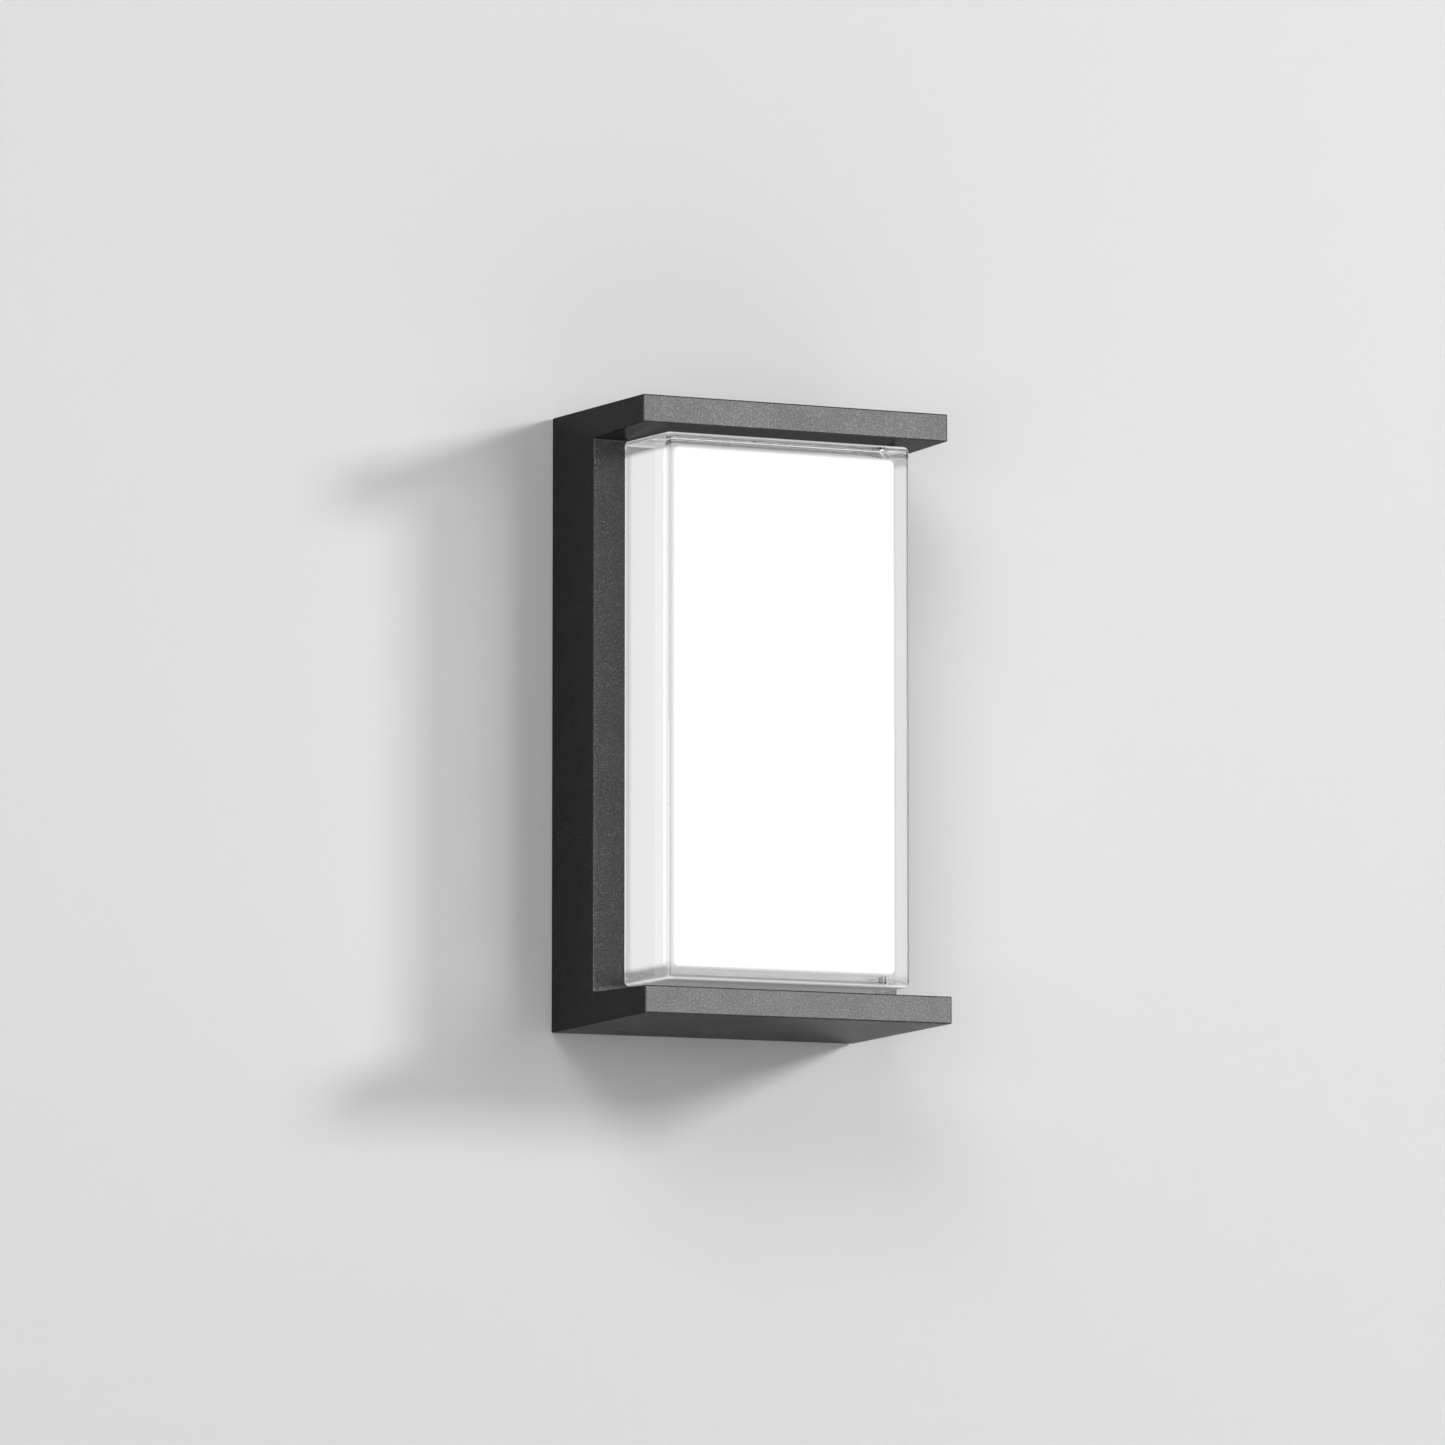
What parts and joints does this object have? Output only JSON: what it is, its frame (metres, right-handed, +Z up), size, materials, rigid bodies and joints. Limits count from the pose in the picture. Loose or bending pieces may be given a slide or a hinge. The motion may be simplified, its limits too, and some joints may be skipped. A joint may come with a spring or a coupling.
{
  "type": "outdoor wall lantern",
  "caption": "Outdoor wall lantern: a C-shaped cast frame on the wall holds a glowing hollow glass block between a top and a bottom arm.",
  "frame": {"origin": "centre of the wall plate's back face, on the wall", "axes": "+Y into the wall, so the front looks along -Y; +Z up; +X to the right as seen from the front"},
  "size_m": [0.15, 0.1014, 0.2774],
  "materials": {
    "graphite_powder_coat": "fine textured powder coat with metallic flecks",
    "clear_glass": "polished clear cast glass",
    "opal_white": "opal white diffuser",
    "seal_silicone": "translucent silicone",
    "seal_rubber": "matt black",
    "tray_aluminium": "mill finish",
    "plate_aluminium": "cast, as tumbled",
    "board_white": "white solder mask",
    "led_phosphor": "yellow phosphor",
    "connector_white": "moulded",
    "driver_plastic": "moulded, fine texture",
    "terminal_plastic": "moulded grey",
    "insulating_sheet": "pressed fibre sheet",
    "button_orange": "moulded",
    "brass_contact": "bright",
    "zinc_steel": "zinc plated",
    "black_steel": "blackened stainless steel",
    "lead_brown": "insulation",
    "lead_blue": "insulation",
    "lead_earth": "green and yellow insulation",
    "lead_red": "insulation",
    "lead_black": "insulation"
  },
  "bodies": {
    "wall_unit": {"wall_plate": "plate_aluminium", "plate_rim": "plate_aluminium", "perimeter_seal": "seal_rubber", "cable_grommet_left": "seal_rubber", "cable_grommet_right": "seal_rubber", "terminal_base": "insulating_sheet", "terminal_block": "terminal_plastic", "terminal_contacts": "brass_contact", "terminal_screws": "zinc_steel", "plate_earth_stud": "zinc_steel", "plate_earth_tag": "zinc_steel", "plate_earth_nut": "zinc_steel", "plate_earth_lead": "lead_earth"},
    "lantern_head": {"frame_casting": "graphite_powder_coat", "glass_block": "clear_glass", "glass_collar": "tray_aluminium", "opal_liner": "opal_white", "glass_front_seal": "seal_silicone", "glass_rear_cushion": "seal_silicone", "gear_tray": "tray_aluminium", "tray_screws": "zinc_steel", "tray_grommet": "seal_rubber", "led_board": "board_white", "led_chips": "led_phosphor", "led_connector": "connector_white", "led_board_screws": "zinc_steel", "driver_case": "driver_plastic", "driver_lid": "driver_plastic", "driver_screws": "zinc_steel", "plug_block": "terminal_plastic", "plug_pins": "brass_contact", "plug_screws": "zinc_steel", "live_lead": "lead_brown", "neutral_lead": "lead_blue", "earth_lead": "lead_earth", "tray_earth_stud": "zinc_steel", "tray_earth_tag": "zinc_steel", "tray_earth_nut": "zinc_steel", "led_lead_positive": "lead_red", "led_lead_negative": "lead_black"},
    "release_button_live": {"release_button_live": "button_orange"},
    "release_button_earth": {"release_button_earth": "button_orange"},
    "release_button_neutral": {"release_button_neutral": "button_orange"},
    "fixing_screw_left": {"fixing_screw_left": "black_steel"},
    "fixing_screw_right": {"fixing_screw_right": "black_steel"}
  },
  "joints": [
    {"name": "lift_off", "type": "slide", "parent": "wall_unit", "child": "lantern_head", "axis": [0, -1, 0], "range_m": [0, 0.05]},
    {"name": "press_live", "type": "slide", "parent": "wall_unit", "child": "release_button_live", "axis": [0, 1, 0], "range_m": [0, 0.0015], "stiffness_N_per_m": 2000},
    {"name": "press_earth", "type": "slide", "parent": "wall_unit", "child": "release_button_earth", "axis": [0, 1, 0], "range_m": [0, 0.0015], "stiffness_N_per_m": 2000},
    {"name": "press_neutral", "type": "slide", "parent": "wall_unit", "child": "release_button_neutral", "axis": [0, 1, 0], "range_m": [0, 0.0015], "stiffness_N_per_m": 2000},
    {"name": "turn_screw_left", "type": "hinge", "parent": "lantern_head", "child": "fixing_screw_left", "pos_m": [-0.045, -0.0114, 0.1358], "axis": [0, 0, 1], "continuous": true},
    {"name": "turn_screw_right", "type": "hinge", "parent": "lantern_head", "child": "fixing_screw_right", "pos_m": [0.045, -0.0114, 0.1358], "axis": [0, 0, 1], "continuous": true}
  ]
}
